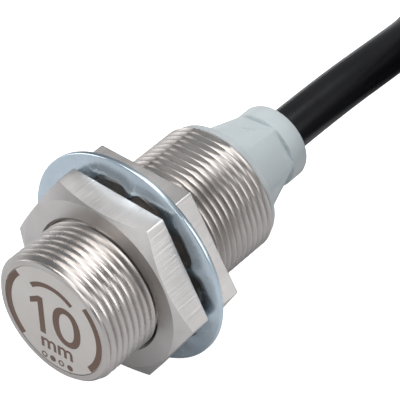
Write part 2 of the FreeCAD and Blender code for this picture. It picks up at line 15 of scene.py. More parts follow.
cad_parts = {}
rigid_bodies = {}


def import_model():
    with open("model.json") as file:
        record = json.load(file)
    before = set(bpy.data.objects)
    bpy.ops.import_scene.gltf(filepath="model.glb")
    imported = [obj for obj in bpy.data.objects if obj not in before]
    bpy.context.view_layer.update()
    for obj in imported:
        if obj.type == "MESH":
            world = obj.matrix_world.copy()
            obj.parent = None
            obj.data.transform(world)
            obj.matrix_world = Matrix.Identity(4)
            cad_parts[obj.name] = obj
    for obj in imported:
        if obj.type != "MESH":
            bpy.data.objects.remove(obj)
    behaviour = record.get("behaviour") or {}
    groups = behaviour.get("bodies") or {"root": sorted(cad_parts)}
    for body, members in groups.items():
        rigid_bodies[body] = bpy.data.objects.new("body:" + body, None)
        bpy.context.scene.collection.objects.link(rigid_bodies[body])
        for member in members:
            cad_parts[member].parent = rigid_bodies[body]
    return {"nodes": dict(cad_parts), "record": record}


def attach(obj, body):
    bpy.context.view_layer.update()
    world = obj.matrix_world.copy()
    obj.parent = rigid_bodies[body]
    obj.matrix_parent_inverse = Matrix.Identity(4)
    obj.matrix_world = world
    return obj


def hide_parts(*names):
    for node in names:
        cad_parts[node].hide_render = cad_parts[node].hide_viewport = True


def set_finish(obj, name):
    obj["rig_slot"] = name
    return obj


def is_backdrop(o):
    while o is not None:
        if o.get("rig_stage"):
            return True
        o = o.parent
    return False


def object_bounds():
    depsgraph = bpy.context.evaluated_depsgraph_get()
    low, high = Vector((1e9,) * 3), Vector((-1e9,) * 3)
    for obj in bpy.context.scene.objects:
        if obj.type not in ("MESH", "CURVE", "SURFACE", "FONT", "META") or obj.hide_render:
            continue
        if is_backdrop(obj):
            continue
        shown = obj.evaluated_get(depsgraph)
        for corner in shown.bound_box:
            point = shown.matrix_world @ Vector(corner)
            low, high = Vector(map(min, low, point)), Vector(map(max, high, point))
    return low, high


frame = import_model()
scene = bpy.context.scene
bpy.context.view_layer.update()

# %% [markdown]
# The barrel lies along Y, with its marked end at y = 0 and its cable leaving towards
# plus Y. A maker thinks in millimetres here, so sizes are written in millimetres and
# turned into metres in one place.

# %% Millimetres to metres, and lengths along the barrel
MM = 0.001


def metres(*place):
    """A point given in millimetres, as Blender wants it."""
    return Vector(place) * MM


def along(y, r, degrees):
    """Point at a distance r from the barrel's axis, turned from plus X towards plus Z."""
    turn = math.radians(degrees)
    return metres(r * math.cos(turn), y, r * math.sin(turn))


FACE, REAR = 0.0, 30.2
FLANGE_BACK, CONE_BACK, CLAMP_BACK = 30.95, 39.15, 41.95

# %% [markdown]
# The camera comes first, because the cable is measured against what it sees. It looks
# down on the marked end from the front right, from about 300 mm away with a long lens,
# so the barrel hardly narrows towards the back. Its axes are built from the direction
# of view and a small roll, and set as a matrix.

# %% Camera
aim = metres(1.866, 24.869, 2.687)
azimuth, elevation, roll = (math.radians(a) for a in (41.682, 40.823, -2.86))
away = Vector((math.sin(azimuth) * math.cos(elevation),
               -math.cos(azimuth) * math.cos(elevation), math.sin(elevation)))
level = (-away).cross(Vector((0, 0, 1))).normalized()
upright = level.cross(-away)
right = level * math.cos(roll) + upright * math.sin(roll)
up = upright * math.cos(roll) - level * math.sin(roll)

camera = bpy.data.objects.new("camera", bpy.data.cameras.new("camera"))
scene.collection.objects.link(camera)
camera.data.lens = 225.75
camera.data.sensor_width = 36.0
camera.data.clip_start = 0.02
camera.data.clip_end = 5.0
turned_view = Matrix((right, up, away)).transposed().to_4x4()
camera.matrix_world = Matrix.Translation(aim + away * 306.35 * MM) @ turned_view
scene.camera = camera
print("camera at, mm:", [round(v / MM, 1) for v in camera.location])

# %% [markdown]
# The cable is a 6 mm round jacket that leaves the clamp straight, droops to the bench
# and is wound into a neat coil of nine and a half turns, the way it is packed. A cord is
# best made as one smooth curve with a round bevel. The free part is a few points. A
# turn of the coil is sixteen points, and each turn keeps its own place in the winding
# until it steps over to the next one.

# %% Places of the turns in the coil
BENCH = -14.05
CABLE_RADIUS = 3.0
tie_stock = 0.5
coil_x, coil_y = 36.0, 89.0
lift = BENCH + tie_stock
low_row, mid_row, high_row = lift + 3.0, lift + 9.0, lift + 15.0
places = [(36, low_row), (30, low_row), (24, low_row),
          (24, mid_row), (30, mid_row), (36, mid_row),
          (36, high_row), (30, high_row), (24, high_row),
          (27, high_row + 5.2), (33, high_row + 5.2)]
stays = [360, 360, 292.5, 292.5, 360, 292.5, 292.5, 360, 292.5, 292.5, 225]
STEP, CHANGE = 22.5, 67.5
# the spline runs inside its points, so the points stand a little further out
SPREAD = 1 / math.cos(math.radians(STEP / 2)) ** 0.85


def winding_place(wound):
    """Radius and height of the cable when it has been wound so many degrees."""
    end = 0
    for turn, stay in enumerate(stays):
        end += stay
        if wound <= end or turn == len(stays) - 1:
            break
    into = (wound - (end - CHANGE)) / CHANGE
    if into <= 0 or turn == len(stays) - 1:
        return places[turn]
    (r0, z0), (r1, z1) = places[turn], places[turn + 1]
    return r0 + (r1 - r0) * into, z0 + (z1 - z0) * into


def beside_coil(degrees, r, z):
    turn = math.radians(degrees)
    return coil_x + r * math.cos(turn), coil_y + r * math.sin(turn), z


print("points in the coil:", int(sum(stays) / STEP))

# %% [markdown]
# Past the clamp the cable swings round the outside of the coil and goes in under its
# outer turns. Its other end runs out over the top, so that the stripped leads lie there.
# The curve carries the cable's radius at every point, which keeps its bounds true.

# %% Route of the cable
route = [(0, CLAMP_BACK, 0), (0, 53, 0), (0, 65, -0.9), (-1.0, 73, -2.6), (-3.6, 80, -4.6),
         (-5.8, 87.5, -7.0), beside_coil(167, 42.2, -9.2), beside_coil(149, 41.2, low_row),
         beside_coil(131, 38.4, low_row)]
for step in range(3, int(sum(stays) / STEP) + 1):
    r, z = winding_place(step * STEP)
    route.append(beside_coil(180 - step * STEP, r * SPREAD, z))
route += [beside_coil(-10, 33.3, lift + 20.3), beside_coil(-22, 34.3, lift + 20.9),
          beside_coil(-36, 36.2, lift + 21.3)]

line = bpy.data.curves.new("cable", "CURVE")
line.dimensions = "3D"
spline = line.splines.new("NURBS")
spline.points.add(len(route) - 1)
for point, place in zip(spline.points, route):
    point.co = (*metres(*place), 1)
    point.radius = CABLE_RADIUS * MM
spline.order_u = 3
spline.use_endpoint_u = True
line.resolution_u = 6
line.bevel_depth = 1.0
line.bevel_resolution = 6
line.use_fill_caps = True
cable = bpy.data.objects.new("cable", line)
scene.collection.objects.link(cable)
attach(cable, "sensor")
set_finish(cable, "cable_jacket")
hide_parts("cable_run", "cable_coil", "cable_tail")
print("cable points:", len(route))

# %% [markdown]
# Most of this sensor is turned on a lathe, so most pieces start the same way here: a
# profile is drawn point by point beside the axis and spun round it. Starting from one
# vertex and extruding it along keeps every number on the profile readable.

# %% Drawing and spinning a profile
def pick_nothing():
    """Back to object mode with nothing selected."""
    if bpy.context.object and bpy.context.object.mode != "OBJECT":
        bpy.ops.object.mode_set(mode="OBJECT")
    bpy.ops.object.select_all(action="DESELECT")


def edit(piece):
    """Edit mode on one piece, with all of it selected."""
    pick_nothing()
    piece.select_set(True)
    bpy.context.view_layer.objects.active = piece
    bpy.ops.object.mode_set(mode="EDIT")
    bpy.ops.mesh.select_all(action="SELECT")


def draw(name, points, closed=True):
    """A line of edges through the points, grown from a plane that is merged to one vertex."""
    pick_nothing()
    bpy.ops.mesh.primitive_plane_add(size=MM)
    piece = bpy.context.object
    piece.name = name
    edit(piece)
    bpy.ops.mesh.merge(type="CENTER")
    bpy.ops.transform.translate(value=points[0])
    for before, after in zip(points, list(points[1:]) + ([points[0]] if closed else [])):
        bpy.ops.mesh.extrude_region_move(TRANSFORM_OT_translate={"value": after - before})
    bpy.ops.mesh.select_all(action="SELECT")
    bpy.ops.mesh.remove_doubles(threshold=0.001 * MM)
    bpy.ops.object.mode_set(mode="OBJECT")
    return piece


def spin(name, profile, steps=192):
    """Turned piece: the profile's (radius, y) corners, spun once round the barrel's axis."""
    piece = draw(name, [metres(r, y, 0) for r, y in profile])
    edit(piece)
    bpy.ops.mesh.spin(steps=steps, angle=math.tau, center=(0, 0, 0), axis=(0, 1, 0))
    bpy.ops.mesh.select_all(action="SELECT")
    bpy.ops.mesh.remove_doubles(threshold=0.001 * MM)
    bpy.ops.mesh.normals_make_consistent(inside=False)
    bpy.ops.object.mode_set(mode="OBJECT")
    return piece


print("profile tools ready")

# %% [markdown]
# Flats, gaps and facets are milled into a turned piece. A Boolean modifier does that:
# the tool is a piece of its own, and is thrown away when the cut is applied. A last
# step merges doubles, points the faces outwards and smooths shallow angles only, so
# real edges stay crisp.

# %% Cutting and finishing a piece
def apply_all(piece):
    pick_nothing()
    piece.select_set(True)
    bpy.context.view_layer.objects.active = piece
    for modifier in list(piece.modifiers):
        bpy.ops.object.modifier_apply(modifier=modifier.name)


def mill(piece, tool, operation="DIFFERENCE"):
    """Cuts the tool out of the piece, or keeps only what both share."""
    cutting = piece.modifiers.new("cut", "BOOLEAN")
    cutting.operation = operation
    cutting.solver = "EXACT"
    cutting.object = tool
    apply_all(piece)
    bpy.data.objects.remove(tool)
    return piece


def soften(piece, width, degrees=30, segments=2):
    """Breaks the sharp edges, as deburring or a mould does."""
    bevel = piece.modifiers.new("edges", "BEVEL")
    bevel.width = width * MM
    bevel.segments = segments
    bevel.limit_method = "ANGLE"
    bevel.angle_limit = math.radians(degrees)
    bevel.use_clamp_overlap = True
    apply_all(piece)


def finish_piece(piece, body, slot, node=None, smooth=30):
    """Clean mesh, outward faces, smooth shading by angle, and its place in the frame."""
    edit(piece)
    bpy.ops.mesh.remove_doubles(threshold=0.0005 * MM)
    bpy.ops.mesh.normals_make_consistent(inside=False)
    bpy.ops.object.mode_set(mode="OBJECT")
    bpy.ops.object.shade_smooth_by_angle(angle=math.radians(smooth))
    pick_nothing()
    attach(piece, body)
    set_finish(piece, slot)
    if node:
        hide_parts(node)
    sizes = [round(v / MM, 2) for v in piece.dimensions]
    print(piece.name, "on", body, "size mm", sizes, "faces", len(piece.data.polygons))
    return piece


def tool_block(low, high):
    """A block between two corners in millimetres, for cutting with."""
    pick_nothing()
    bpy.ops.mesh.primitive_cube_add(size=1)
    tool = bpy.context.object
    edit(tool)
    bpy.ops.transform.resize(value=[(h - l) * MM for l, h in zip(low, high)])
    bpy.ops.transform.translate(value=[(h + l) / 2 * MM for l, h in zip(low, high)])
    bpy.ops.object.mode_set(mode="OBJECT")
    return tool


print("cutting tools ready")

# %% [markdown]
# The barrel carries an M18 x 1 thread from end to end. A normal map could fake it, but
# the crests show in outline and catch the light one by one, so it is cut for real. One
# pitch of the thread's section is drawn and a Screw modifier winds it up the axis. The
# two ends are cut square and closed, which leaves a solid threaded rod.

# %% Thread
PITCH, CREST, ROOT = 1.0, 9.0, 8.39
tooth = [(ROOT, 0.0), (ROOT + 0.012, 0.07), (8.976, 0.425), (CREST, 0.455),
         (CREST, 0.545), (8.976, 0.575), (ROOT + 0.012, 0.93), (ROOT, PITCH)]
thread_start = -2.5
rod = draw("threaded_barrel", [metres(r, y + thread_start, 0) for r, y in tooth], closed=False)
winding = rod.modifiers.new("thread", "SCREW")
winding.axis = "Y"
winding.angle = math.tau
winding.steps = winding.render_steps = 120
winding.screw_offset = PITCH * MM
winding.iterations = 36
winding.use_merge_vertices = False
apply_all(rod)

edit(rod)
bpy.ops.mesh.remove_doubles(threshold=0.001 * MM)
for cut_y, keep_above in ((FACE - 0.8, True), (REAR + 0.8, False)):
    bpy.ops.mesh.select_all(action="SELECT")
    bpy.ops.mesh.bisect(plane_co=metres(0, cut_y, 0), plane_no=(0, 1, 0), use_fill=True,
                        clear_inner=keep_above, clear_outer=not keep_above)
bpy.ops.mesh.select_all(action="SELECT")
bpy.ops.mesh.normals_make_consistent(inside=False)
bpy.ops.object.mode_set(mode="OBJECT")
print("threaded rod faces", len(rod.data.polygons))

# %% [markdown]
# The barrel's other features are turned and milled on a plain tube: a bevelled front
# rim, a shallow seat for the disc, the bore, and two wrench flats near the back. The
# tube is a little larger than the thread, so what the two share is the thread itself,
# with its starts run out on the bevel and its crests cut short on the flats.

# %% Barrel
tube = spin("barrel_blank", [(7.7, FACE), (8.4, FACE), (9.1, 0.7), (9.1, REAR),
                             (7.3, REAR), (7.3, 0.8), (7.7, 0.8)])
for side in (1, -1):
    low, high = sorted((side * 8.5, side * 12))
    mill(tube, tool_block((-12, 20, low), (12, REAR + 3, high)))
barrel = mill(rod, tube, "INTERSECT")
finish_piece(barrel, "sensor", "stainless_thread", "threaded_case")

# %% [markdown]
# The front is closed by a thin disc of the same steel, blasted matt so that the marks
# read well. Its edge is broken a little, and that leaves the fine seam line inside
# the rim.

# %% Front disc
disc_front = 0.02
disc = spin("front_disc", [(0, disc_front), (7.6, disc_front), (7.65, 0.07), (7.65, 0.78), (0, 0.78)])
finish_piece(disc, "sensor", "blasted_steel", "sensing_face")

# %% [markdown]
# The marks are burnt on by a laser: the sensing distance as plain figures, two arcs
# beside it, a plain bar above it and a row of four small rings and dots below. They
# are modelled as skins a hundredth of a millimetre thick, so they are part of the
# shape. Figures come from Blender's own font and are made a mesh, then fitted to
# their size.

# %% Figures on the disc
MARK_FRONT, MARK_BACK = 0.006, 0.024


def figures(name, words, x0, x1, z0, z1, weight):
    """Letters as a thin skin that fills the given rectangle on the disc."""
    pick_nothing()
    bpy.ops.object.text_add(rotation=(math.pi / 2, 0, 0))
    mark = bpy.context.object
    mark.name = name
    mark.data.body = words
    mark.data.size = 1.0
    mark.data.offset = weight
    mark.data.extrude = 0.5
    mark.data.resolution_u = 10
    bpy.ops.object.convert(target="MESH")
    bpy.ops.object.transform_apply(location=True, rotation=True, scale=True)
    corners = [Vector(c) for c in mark.bound_box]
    low = Vector([min(c[i] for c in corners) for i in range(3)])
    size = Vector([max(c[i] for c in corners) for i in range(3)]) - low
    want = metres(x1 - x0, MARK_BACK - MARK_FRONT, z1 - z0)
    edit(mark)
    bpy.ops.transform.translate(value=-low)
    bpy.ops.transform.resize(value=[w / s for w, s in zip(want, size)], center_override=(0, 0, 0))
    bpy.ops.transform.translate(value=metres(x0, MARK_FRONT, z0))
    bpy.ops.object.mode_set(mode="OBJECT")
    return finish_piece(mark, "sensor", "blasted_steel")


marks = [
    figures("figure_nought", "0", -0.14, 4.25, -3.1, 3.07, 0.004),
    figures("unit_letters", "mm", -2.4, 2.6, -5.3, -3.75, 0.018),
]

# %% [markdown]
# The bar, arcs and dots are flat shapes. Each is an outline on the disc that is
# filled and drawn out to the same thickness as the figures. An arc is two radii
# joined, so it is a short spin of one straight edge.

# %% Bars, arcs and dots on the disc
def thicken(mark):
    """A flat shape on the disc, drawn out to the marks' thickness."""
    edit(mark)
    bpy.ops.mesh.extrude_region_move(
        TRANSFORM_OT_translate={"value": metres(0, MARK_BACK - MARK_FRONT, 0)})
    bpy.ops.object.mode_set(mode="OBJECT")
    return finish_piece(mark, "sensor", "blasted_steel")


def sector(name, r0, r1, start, sweep, x=0.0, z=0.0, steps=24):
    """Part of a ring on the disc, from a start angle on through a sweep."""
    mark = draw(name, [along(MARK_FRONT, r0, start), along(MARK_FRONT, r1, start)], closed=False)
    edit(mark)
    bpy.ops.mesh.spin(steps=steps, angle=math.radians(sweep), center=(0, 0, 0), axis=(0, 1, 0))
    bpy.ops.mesh.select_all(action="SELECT")
    bpy.ops.mesh.remove_doubles(threshold=0.001 * MM)
    bpy.ops.transform.translate(value=metres(x, 0, z))
    bpy.ops.object.mode_set(mode="OBJECT")
    return thicken(mark)


one = draw("figure_one", [metres(x, MARK_FRONT, z) for x, z in (
    (-1.5, -3.0), (-1.5, 2.85), (-2.2, 2.85), (-3.62, 1.95), (-3.62, 1.05), (-2.38, 1.78), (-2.38, -3.0))])
edit(one)
bpy.ops.mesh.edge_face_add()
bpy.ops.object.mode_set(mode="OBJECT")
marks.append(thicken(one))
marks += [sector("arc_right", 6.72, 7.58, -43, 86), sector("arc_left", 6.72, 7.58, 137, 86)]
for number, x in enumerate((-2.10, -0.76, 0.58, 1.99)):
    inner = 0.0 if number % 2 else 0.27
    marks.append(sector("dot_%d" % (number + 1), inner, 0.46, 0, 360, x, -6.62))
marks.append(sector("bar_above", 4.35, 5.05, 48, 84, 0.0, 0.55))
print("marks:", len(marks))

# %% [markdown]
# The two nuts are the thin hexagons that come with the sensor, 24 mm across flats and
# 4 mm thick. A hexagonal bar is the start. Its front corners are turned off at 30
# degrees and its bore is countersunk, which a spun blank does in one cut. The edges
# are then broken, and they draw the bright lines round each flat.

# %% Nuts
FLATS, THICK, RUNNING = 24.0, 4.0, 9.05


def nut(name, body, face, corner, node):
    pick_nothing()
    bpy.ops.mesh.primitive_cylinder_add(
        vertices=6, radius=FLATS / 2 / math.cos(math.pi / 6) * MM, depth=THICK * MM,
        location=metres(0, face + THICK / 2, 0),
        rotation=(math.pi / 2, -math.radians(corner - 30), 0))
    piece = bpy.context.object
    piece.name = name
    bpy.ops.object.transform_apply(location=True, rotation=True, scale=True)
    soften(piece, 0.12, 30, 2)
    sink = RUNNING + 0.35
    reach = 14.2
    blank = spin(name + "_blank", [
        (sink, face - 0.001), (11.8, face - 0.001),
        (reach, face + (reach - 11.8) * math.tan(math.pi / 6)), (reach, face + THICK + 0.001),
        (sink, face + THICK + 0.001), (RUNNING, face + THICK - 0.35), (RUNNING, face + 0.35)])
    mill(piece, blank, "INTERSECT")
    soften(piece, 0.05, 22, 1)
    return finish_piece(piece, body, "stainless_nut", node, smooth=9)


nut("front_nut_turned", "front_nut", 7.94, 116.9, "front_nut")
nut("rear_nut_turned", "rear_nut", 13.37, 118.6, "rear_nut")

# %% [markdown]
# The lock washer is stamped from sheet and dished, with twelve slender teeth that
# bear on the nut. It is spun as a dished ring first. One gap is drawn with its two
# rounded corners, drawn out, and repeated by a spin that makes copies. Cutting the
# twelve gaps out leaves the teeth.

# %% Toothed washer
washer = spin("lock_washer", [(9.7, 12.02), (14.52, 13.181), (14.6, 13.28), (14.6, 13.77),
                              (14.52, 13.831), (9.7, 12.67)])
TEETH = 12
centre_turn = math.radians(96)
outward = Vector((math.cos(centre_turn), 0, math.sin(centre_turn)))
sideways = Vector((-math.sin(centre_turn), 0, math.cos(centre_turn)))
half = math.tan(math.pi / TEETH)
inner_half, outer_half = 8.7 * half - 0.575, 12.4 * half - 0.725
corner = 1.7
bend = [(outer_half - corner + corner * math.cos(a), 12.4 - corner + corner * math.sin(a))
        for a in (math.radians(11.25 * k) for k in range(9))]
gap_line = [(inner_half, 8.7), *bend, *[(-s, t) for s, t in reversed(bend)], (-inner_half, 8.7)]
gap = draw("gap", [outward * t * MM + sideways * s * MM + metres(0, 11, 0) for s, t in gap_line])
edit(gap)
bpy.ops.mesh.edge_face_add()
bpy.ops.mesh.extrude_region_move(TRANSFORM_OT_translate={"value": metres(0, 4, 0)})
bpy.ops.mesh.select_all(action="SELECT")
bpy.ops.mesh.normals_make_consistent(inside=False)
bpy.ops.mesh.spin(steps=TEETH - 1, angle=math.tau * (TEETH - 1) / TEETH, dupli=True,
                  center=(0, 0, 0), axis=(0, 1, 0))
bpy.ops.object.mode_set(mode="OBJECT")
mill(washer, gap)
soften(washer, 0.07, 35, 2)
edit(washer)
bpy.ops.transform.translate(value=metres(0, 0, 0.55))
bpy.ops.object.mode_set(mode="OBJECT")
finish_piece(washer, "washer", "zinc_plate", "toothed_washer")

# %% [markdown]
# The cable clamp is a clear nylon moulding: a flange on the end of the barrel, a cone
# with six flat facets for the fingers, and a round collar about the cable. It is spun
# with its plug and bore, and each facet is a wedge cut off the cone, so that the
# collar overhangs it. The collar's back edge is rounded off in the profile, as a mould leaves it.

# %% Cable clamp
clamp = spin("clear_clamp", [
    (5.95, 25.2), (7.28, 25.2), (7.28, REAR), (8.65, REAR), (8.65, FLANGE_BACK),
    (7.35, FLANGE_BACK), (5.25, CONE_BACK), (5.25, CLAMP_BACK - 0.45), (5.12, CLAMP_BACK - 0.13),
    (4.8, CLAMP_BACK), (3.02, CLAMP_BACK), (3.02, 36.35), (3.5, 36.35), (3.5, 33.35),
    (5.95, FLANGE_BACK)], steps=144)
facet_turn = math.radians(36)
outward = Vector((math.cos(facet_turn), 0, math.sin(facet_turn)))
sideways = Vector((-math.sin(facet_turn), 0, math.cos(facet_turn)))
wedge = draw("wedge", [outward * r * MM + metres(0, y, 0) - sideways * 8.65 * MM for r, y in (
    (7.35, 31.25), (4.6, CONE_BACK), (9.5, CONE_BACK), (9.5, 31.25))])
edit(wedge)
bpy.ops.mesh.edge_face_add()
bpy.ops.mesh.extrude_region_move(TRANSFORM_OT_translate={"value": sideways * 17.3 * MM})
bpy.ops.mesh.select_all(action="SELECT")
bpy.ops.mesh.normals_make_consistent(inside=False)
bpy.ops.object.mode_set(mode="OBJECT")
for turn in range(6):
    wedge_copy = wedge.copy()
    wedge_copy.data = wedge.data.copy()
    scene.collection.objects.link(wedge_copy)
    wedge_copy.data.transform(Matrix.Rotation(math.radians(60 * turn), 4, "Y"))
    mill(clamp, wedge_copy)
bpy.data.objects.remove(wedge)
finish_piece(clamp, "sensor", "frosted_clamp", "cable_clamp", smooth=25)

# %% [markdown]
# Two nylon straps hold the coil. Each is a closed loop that hugs the turns, with
# rounded corners and a small square lock. The loop is drawn as a line, its corners
# are rounded, and it is drawn out to the strap's width and given its thickness.

# %% Coil straps
def strap(name, degrees):
    turn = math.radians(degrees)
    radial = Vector((math.cos(turn), math.sin(turn), 0))
    tangent = Vector((-math.sin(turn), math.cos(turn), 0))
    centre = metres(coil_x, coil_y, 0)
    corners = [(20.6, lift - 0.25), (39.4, lift - 0.25), (39.4, lift + 18.4), (36.6, lift + 23.6),
               (23.4, lift + 23.6), (20.6, lift + 18.6)]
    piece = draw(name, [centre + radial * r * MM + metres(0, 0, z) - tangent * 2.5 * MM
                        for r, z in corners])
    edit(piece)
    bpy.ops.mesh.bevel(offset=2.2 * MM, segments=6, affect="VERTICES")
    bpy.ops.mesh.select_all(action="SELECT")
    bpy.ops.mesh.extrude_region_move(TRANSFORM_OT_translate={"value": tangent * 5.0 * MM})
    bpy.ops.mesh.select_all(action="SELECT")
    bpy.ops.mesh.normals_make_consistent(inside=False)
    bpy.ops.object.mode_set(mode="OBJECT")
    wall = piece.modifiers.new("thickness", "SOLIDIFY")
    wall.thickness = tie_stock * MM
    wall.offset = 0
    apply_all(piece)
    soften(piece, 0.1, 50, 1)
    pick_nothing()
    bpy.ops.mesh.primitive_cube_add(size=1, location=centre + radial * 20.2 * MM
                                    + metres(0, 0, lift + 9.0), rotation=(0, 0, turn))
    lock = bpy.context.object
    lock.scale = (1.8 * MM, 6.4 * MM, 5.2 * MM)
    bpy.ops.object.transform_apply(location=True, rotation=True, scale=True)
    edit(lock)
    bpy.ops.mesh.bevel(offset=0.5 * MM, segments=2)
    bpy.ops.object.mode_set(mode="OBJECT")
    union = piece.modifiers.new("lock", "BOOLEAN")
    union.operation = "UNION"
    union.object = lock
    apply_all(piece)
    bpy.data.objects.remove(lock)
    return finish_piece(piece, "sensor", "tie_nylon")


straps = [strap("strap_far", 100), strap("strap_near", 280)]
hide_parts("coil_ties")

# %% [markdown]
# Finishes come next. Real metal is never one even colour: it has lathe rings, brushing,
# faint stains and handled patches. Three effects are shared by many finishes, so each
# is a node group with its own inputs, made once. They read Object coordinates, which
# never slide on a piece, and give out a value or a colour that varies.

# %% Shared effects
def node_group(name, inputs, outputs):
    group = bpy.data.node_groups.new(name, "ShaderNodeTree")
    for label, kind, start in inputs:
        made = group.interface.new_socket(label, in_out="INPUT", socket_type=kind)
        if start is not None:
            made.default_value = start
    for label, kind in outputs:
        group.interface.new_socket(label, in_out="OUTPUT", socket_type=kind)
    return group, group.nodes.new("NodeGroupInput"), group.nodes.new("NodeGroupOutput")


def add_node(tree, kind, links=(), **settings):
    """One node with its settings, and its inputs linked to or set to what is given."""
    made = tree.nodes.new(kind)
    for key, setting in settings.items():
        setattr(made, key, setting)
    for socket, source in dict(links).items():
        if isinstance(source, bpy.types.NodeSocket):
            tree.links.new(source, made.inputs[socket])
        else:
            made.inputs[socket].default_value = source
    return made


def streaks_group():
    """Fine parallel lines: noise that is squeezed across the lines and stretched along them."""
    group, taken, given = node_group(
        "fine_streaks",
        [("Vector", "NodeSocketVector", None), ("Stretch", "NodeSocketVector", (1, 1, 1)),
         ("Scale", "NodeSocketFloat", 2000.0)],
        [("Height", "NodeSocketFloat")])
    stretched = add_node(group, "ShaderNodeVectorMath",
                         {0: taken.outputs["Vector"], 1: taken.outputs["Stretch"]}, operation="MULTIPLY")
    fine = add_node(group, "ShaderNodeTexNoise", {
        "Vector": stretched.outputs[0], "Scale": taken.outputs["Scale"], "Detail": 3.0, "Roughness": 0.6})
    group.links.new(fine.outputs["Fac"], given.inputs["Height"])
    return group


def patches_group():
    """Broad uneven patches, as from handling: a value between Low and High."""
    group, taken, given = node_group(
        "uneven_patches",
        [("Vector", "NodeSocketVector", None), ("Scale", "NodeSocketFloat", 150.0),
         ("Low", "NodeSocketFloat", 0.25), ("High", "NodeSocketFloat", 0.4)],
        [("Value", "NodeSocketFloat")])
    cloud = add_node(group, "ShaderNodeTexNoise", {
        "Vector": taken.outputs["Vector"], "Scale": taken.outputs["Scale"], "Detail": 4.0, "Roughness": 0.55})
    spread = add_node(group, "ShaderNodeMapRange", {
        "Value": cloud.outputs["Fac"], "From Min": 0.3, "From Max": 0.7,
        "To Min": taken.outputs["Low"], "To Max": taken.outputs["High"]})
    group.links.new(spread.outputs["Result"], given.inputs["Value"])
    return group


def tint_group():
    """Two near colours mixed in soft clouds, so that no surface is one flat colour."""
    group, taken, given = node_group(
        "tinted_clouds",
        [("Vector", "NodeSocketVector", None), ("Scale", "NodeSocketFloat", 90.0),
         ("Main", "NodeSocketColor", (0.5, 0.5, 0.5, 1)), ("Stain", "NodeSocketColor", (0.4, 0.4, 0.4, 1))],
        [("Color", "NodeSocketColor")])
    cloud = add_node(group, "ShaderNodeTexNoise", {
        "Vector": taken.outputs["Vector"], "Scale": taken.outputs["Scale"], "Detail": 5.0, "Roughness": 0.6})
    ramp = add_node(group, "ShaderNodeMapRange", {
        "Value": cloud.outputs["Fac"], "From Min": 0.35, "From Max": 0.75})
    blend = add_node(group, "ShaderNodeMix", data_type="RGBA")
    group.links.new(ramp.outputs["Result"], blend.inputs[0])
    group.links.new(taken.outputs["Main"], blend.inputs[6])
    group.links.new(taken.outputs["Stain"], blend.inputs[7])
    group.links.new(blend.outputs[2], given.inputs["Color"])
    return group


streaks, patches, tints = streaks_group(), patches_group(), tint_group()
print("groups:", [g.name for g in bpy.data.node_groups])

# %% [markdown]
# One helper builds every finish from those groups, so a finish is a few numbers: two
# near colours, a range of roughness, and the lines or grain of its surface. Numbers
# that are even all over go straight onto the shader's own sockets.

# %% Building a finish
def finish(name, main, stain, low, high, stretch=(1, 1, 1), grain=3000.0, bump=0.1,
           depth=0.02, cloud=90.0, patch=150.0, **shader_settings):
    material = bpy.data.materials.new(name)
    material.use_nodes = True
    tree = material.node_tree
    tree.nodes.clear()
    where = add_node(tree, "ShaderNodeTexCoord").outputs["Object"]
    colour = add_node(tree, "ShaderNodeGroup", node_tree=tints)
    rough = add_node(tree, "ShaderNodeGroup", node_tree=patches)
    lines = add_node(tree, "ShaderNodeGroup", node_tree=streaks)
    for node in (colour, rough, lines):
        tree.links.new(where, node.inputs["Vector"])
    colour.inputs["Scale"].default_value = cloud
    colour.inputs["Main"].default_value = (*main, 1)
    colour.inputs["Stain"].default_value = (*stain, 1)
    rough.inputs["Scale"].default_value = patch
    rough.inputs["Low"].default_value = low
    rough.inputs["High"].default_value = high
    lines.inputs["Stretch"].default_value = stretch
    lines.inputs["Scale"].default_value = grain
    relief = add_node(tree, "ShaderNodeBump", {
        "Height": lines.outputs["Height"], "Strength": bump, "Distance": depth * MM})
    shader = add_node(tree, "ShaderNodeBsdfPrincipled", {
        "Base Color": colour.outputs["Color"], "Roughness": rough.outputs["Value"],
        "Normal": relief.outputs["Normal"]})
    for socket, setting in shader_settings.items():
        shader.inputs[socket.replace("_", " ")].default_value = setting
    add_node(tree, "ShaderNodeOutputMaterial", {"Surface": shader.outputs["BSDF"]})
    return material


METAL = {"Metallic": 1.0}
print("finish helper ready")

# %% [markdown]
# The steels are one metal in three finishes. The barrel keeps its lathe rings, so its
# lines run round the axis: the noise is squeezed along Y only. The nuts are brushed
# across the flats, so their noise is stretched along Y. The disc is blasted, with an
# even fine grain and a high roughness. The washer is zinc plate, bluish and satin.

# %% Metal finishes
steel_thread = finish("turned_steel", (0.60, 0.575, 0.555), (0.48, 0.45, 0.43), 0.24, 0.36,
                      stretch=(0.06, 1, 0.06), grain=9000.0, bump=0.35, depth=0.006, **METAL)
steel_blasted = finish("blasted_steel", (0.74, 0.72, 0.69), (0.68, 0.65, 0.62), 0.50, 0.60,
                       grain=14000.0, bump=0.35, depth=0.006, **METAL)
steel_nut = finish("brushed_steel", (0.70, 0.68, 0.665), (0.58, 0.56, 0.545), 0.30, 0.42,
                   stretch=(1, 0.02, 1), grain=3500.0, bump=1.0, depth=0.03, **METAL)
zinc = finish("bright_zinc", (0.64, 0.75, 0.83), (0.54, 0.64, 0.72), 0.24, 0.34,
              grain=1500.0, bump=0.12, depth=0.01, cloud=160.0, **METAL)
copper = finish("enamelled_copper", (0.72, 0.33, 0.14), (0.55, 0.22, 0.09), 0.25, 0.4,
                stretch=(1, 0.2, 1), grain=4000.0, **METAL)
tin = finish("dipped_tin", (0.76, 0.76, 0.77), (0.62, 0.62, 0.64), 0.2, 0.35, grain=2500.0, **METAL)
laser_mark = finish("laser_mark", (0.15, 0.088, 0.062), (0.20, 0.13, 0.10), 0.5, 0.65,
                    grain=12000.0, bump=0.3, depth=0.004)
print("metals made")

